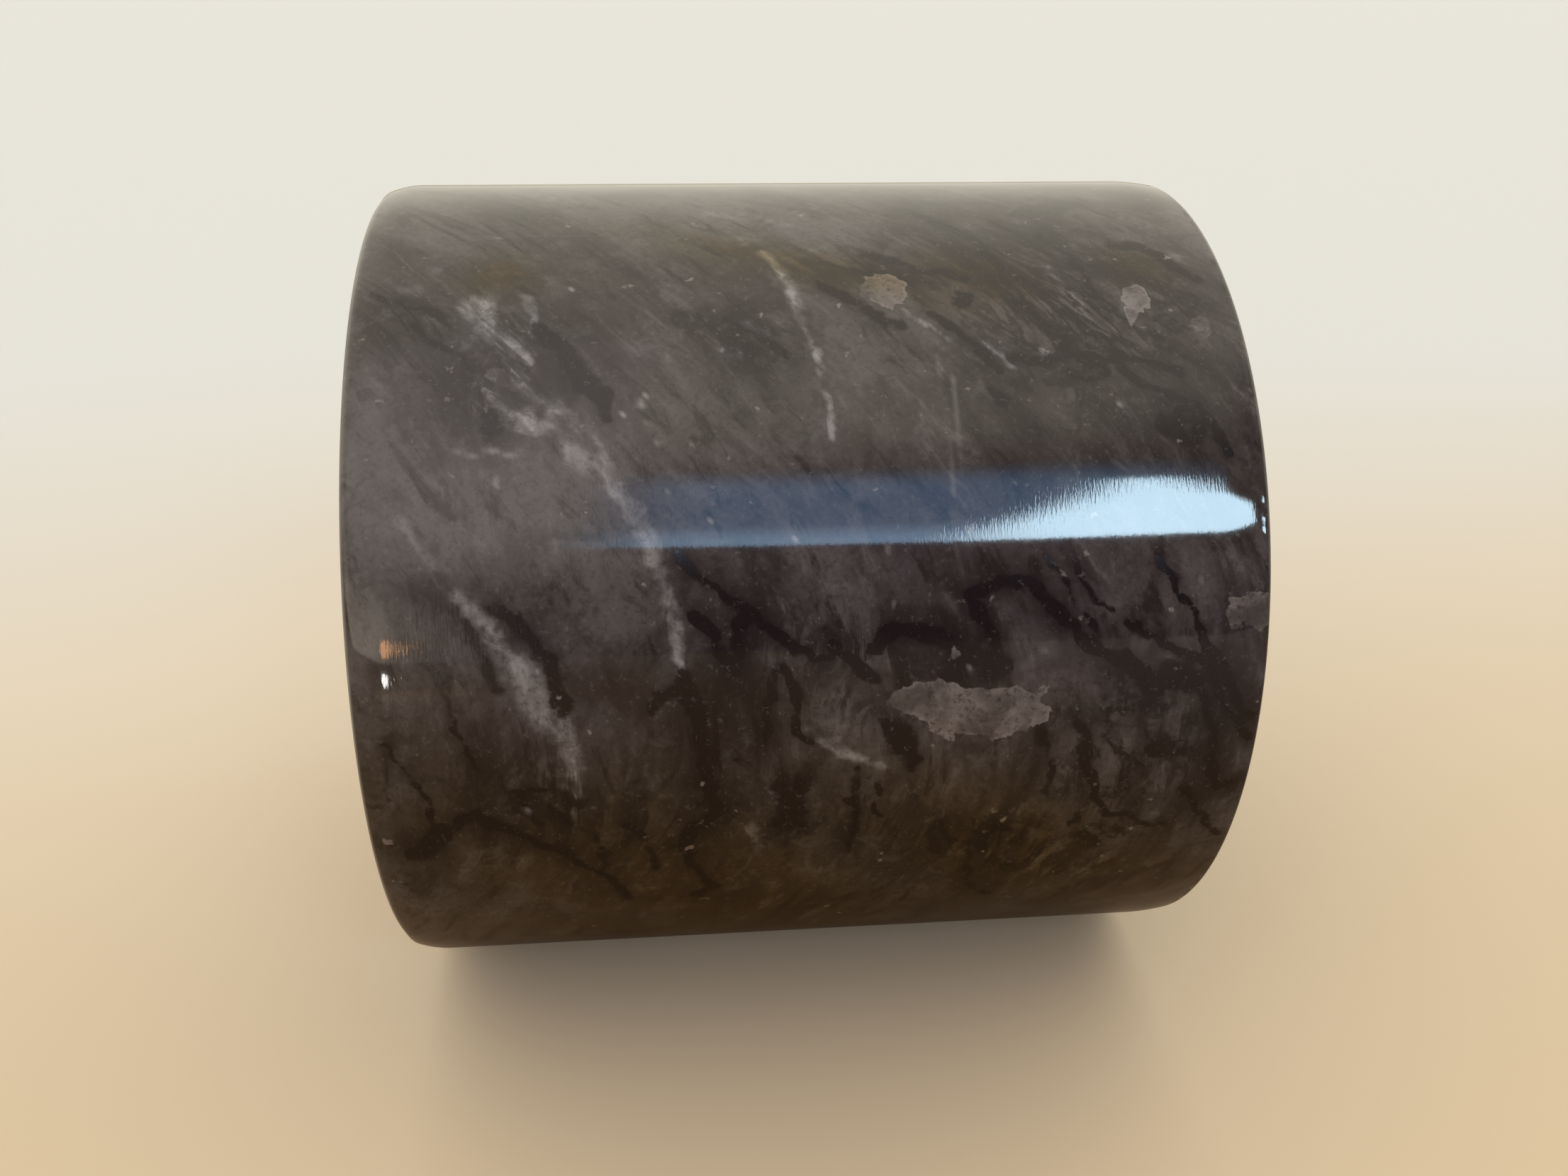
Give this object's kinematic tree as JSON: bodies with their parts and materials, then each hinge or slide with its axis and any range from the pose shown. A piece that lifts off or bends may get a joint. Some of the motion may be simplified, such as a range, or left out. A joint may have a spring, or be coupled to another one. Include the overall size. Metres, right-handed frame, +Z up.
{
  "type": "rock tumbler barrel",
  "caption": "Polished veined stone cylinder lying on its side, hollow, rubber lined, closed at one end by a recessed expanding plug with a wing nut.",
  "frame": {"origin": "point of the floor under the middle of the barrel as it lies on its side; the barrel's axis is 70 mm above it", "axes": "+X along the barrel's axis towards the mouth, +Z up, -X towards the closed end"},
  "size_m": [0.136, 0.14, 0.14],
  "materials": {
    "stone": "polished",
    "liner_rubber": "moulded matte",
    "seal_rubber": "moulded matte",
    "pressed_steel": "pressed, lightly brushed",
    "zinc_steel": "bright zinc plated"
  },
  "bodies": {
    "shell": {"stone_shell": "stone", "rubber_liner": "liner_rubber"},
    "plug": {"inner_plate": "pressed_steel", "seal_ring": "seal_rubber", "carriage_bolt": "zinc_steel", "bolt_seal_washer": "seal_rubber"},
    "outer_plate": {"outer_plate": "pressed_steel", "flat_washer": "zinc_steel"},
    "wing_nut": {"wing_nut": "zinc_steel"}
  },
  "joints": [
    {"name": "plug_pull", "type": "slide", "parent": "shell", "child": "plug", "axis": [1, 0, 0], "range_m": [0, 0.09]},
    {"name": "outer_plate_travel", "type": "slide", "parent": "plug", "child": "outer_plate", "axis": [1, 0, 0], "range_m": [0, 0.003]},
    {"name": "nut_turn", "type": "hinge", "parent": "outer_plate", "child": "wing_nut", "pos_m": [0.0542, 0, 0.07], "axis": [1, 0, 0], "range_deg": [0, 864.5]}
  ],
  "couplings": [
    {"joint": "nut_turn", "follows": "outer_plate_travel", "rad_per_m": 5026.5}
  ]
}
